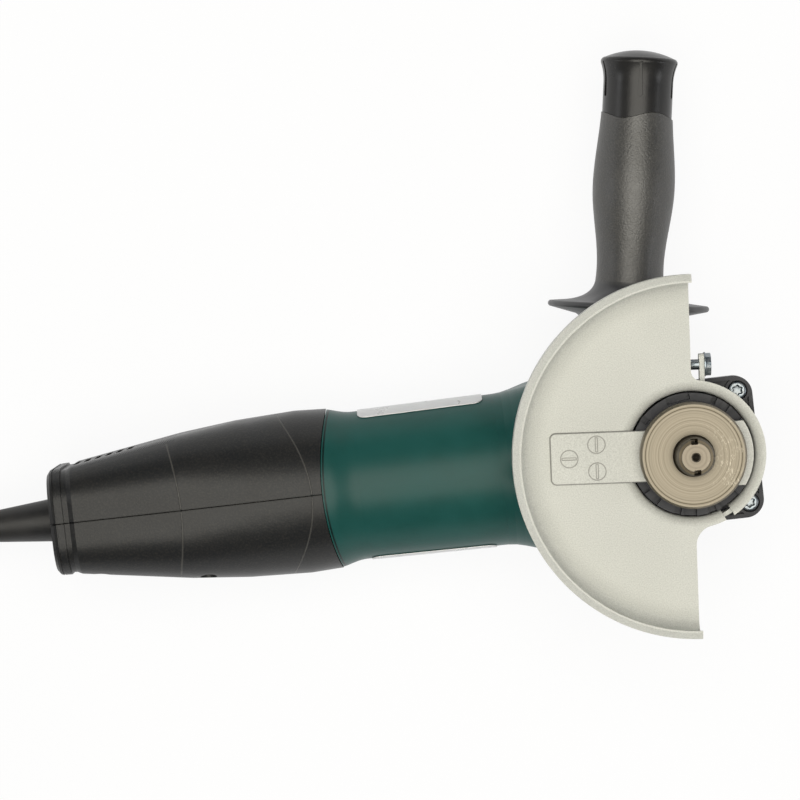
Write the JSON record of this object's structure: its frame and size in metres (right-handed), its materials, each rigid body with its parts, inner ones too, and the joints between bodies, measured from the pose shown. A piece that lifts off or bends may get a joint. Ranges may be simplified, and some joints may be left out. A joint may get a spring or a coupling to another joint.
{
  "type": "angle grinder",
  "caption": "Compact mains angle grinder lying on its back, with an open disc guard, bare spindle and flange, side handle, slide switch and coiled cord.",
  "frame": {"origin": "on the spindle axis, in the plane of the flange that the disc clamps to", "axes": "+Z along the spindle, out of the tool through the disc; +X along the motor axis to the nose of the gear housing; +Y to the side handle"},
  "size_m": [0.4431, 0.3395, 0.094],
  "materials": {
    "dark_casting": "satin black paint on an aluminium die casting",
    "cover_black": "satin black paint on an aluminium casting",
    "zinc_screw": "bright zinc",
    "spring_steel": "oiled spring steel",
    "bearing_steel": "ground bearing steel",
    "green_plastic": "moulded, finely grained, slight sheen",
    "laminations": "stacked electrical sheet",
    "copper_winding": "varnished copper wire",
    "black_plastic": "glass filled plastic",
    "brass_holder": "pressed brass",
    "carbon": "pressed carbon",
    "bush_rubber": "soft rubber",
    "shell_black": "moulded, finely grained",
    "capacitor_case": "smooth case",
    "cord_rubber": "smooth matte sheath",
    "plug_rubber": "moulded matte plug",
    "plug_pin_metal": "nickel plated",
    "grip_rubber": "soft matte grip",
    "cap_black": "moulded satin plastic",
    "spindle_steel": "turned steel",
    "flange_nickel": "turned, warm nickel plate",
    "gear_steel": "hardened, greased",
    "commutator_copper": "turned copper bars",
    "guard_paint": "pale silver grey paint, slightly sandy",
    "knob_black": "moulded plastic"
  },
  "bodies": {
    "housing": {"gear_housing": "dark_casting", "bearing_cover": "cover_black", "cover_screws": "zinc_screw", "bearing_circlip": "spring_steel", "spindle_bearing_outer": "bearing_steel", "needle_bush": "bearing_steel", "gear_housing_screws": "zinc_screw", "motor_housing": "green_plastic", "stator_core": "laminations", "field_windings": "copper_winding", "air_baffle": "black_plastic", "brush_holders": "brass_holder", "carbon_brushes": "carbon", "brush_springs": "spring_steel", "front_bearing": "bearing_steel", "rear_bearing": "bearing_steel", "rear_bearing_bush": "bush_rubber", "rear_shell_right": "shell_black", "rear_shell_left": "shell_black", "rear_shell_screws": "zinc_screw", "motor_switch": "black_plastic", "capacitor": "capacitor_case", "cord_sleeve": "cord_rubber", "supply_lead": "cord_rubber", "cord_clamp": "black_plastic", "mains_cord": "cord_rubber", "cord_coil": "cord_rubber", "cord_tail": "cord_rubber", "plug_body": "plug_rubber", "plug_pins": "plug_pin_metal", "handle_grip": "grip_rubber", "handle_cap": "cap_black", "handle_stud": "zinc_screw"},
    "spindle_group": {"spindle": "spindle_steel", "support_flange": "flange_nickel", "spindle_bearing_inner": "bearing_steel", "crown_wheel": "gear_steel", "spindle_circlip": "spring_steel"},
    "armature_group": {"armature_shaft": "spindle_steel", "armature_core": "laminations", "armature_windings": "copper_winding", "commutator": "commutator_copper", "cooling_fan": "black_plastic", "armature_bearing_inners": "bearing_steel", "drive_pinion": "gear_steel", "pinion_nut": "zinc_screw"},
    "guard_group": {"guard_shell": "guard_paint", "guard_strip": "guard_paint", "clamp_band": "guard_paint", "clamp_screw": "zinc_screw", "clamp_nut": "zinc_screw"},
    "switch_group": {"switch_slider": "knob_black", "switch_rod": "spring_steel", "switch_spring": "spring_steel"},
    "lock_group": {"lock_button": "knob_black", "lock_pin": "spindle_steel", "lock_spring": "spring_steel"}
  },
  "joints": [
    {"name": "spindle_spin", "type": "hinge", "parent": "housing", "child": "spindle_group", "pos_m": [0, 0, -0.05], "axis": [0, 0, 1], "continuous": true},
    {"name": "armature_spin", "type": "hinge", "parent": "housing", "child": "armature_group", "pos_m": [-0.1, 0, -0.05], "axis": [1, 0, 0], "continuous": true},
    {"name": "guard_swing", "type": "hinge", "parent": "housing", "child": "guard_group", "pos_m": [0, 0, -0.015], "axis": [0, 0, 1], "range_deg": [-170, 170]},
    {"name": "switch_slide", "type": "slide", "parent": "housing", "child": "switch_group", "axis": [1, 0, 0], "range_m": [0, 0.007], "stiffness_N_per_m": 400, "springref_m": -0.004, "deforming": ["switch_spring"]},
    {"name": "spindle_lock_slide", "type": "slide", "parent": "housing", "child": "lock_group", "axis": [0, 0, 1], "range_m": [0, 0.0035], "stiffness_N_per_m": 800, "springref_m": -0.003, "deforming": ["lock_spring"]}
  ],
  "couplings": [
    {"joint": "armature_spin", "follows": "spindle_spin", "ratio": 3.0833}
  ]
}
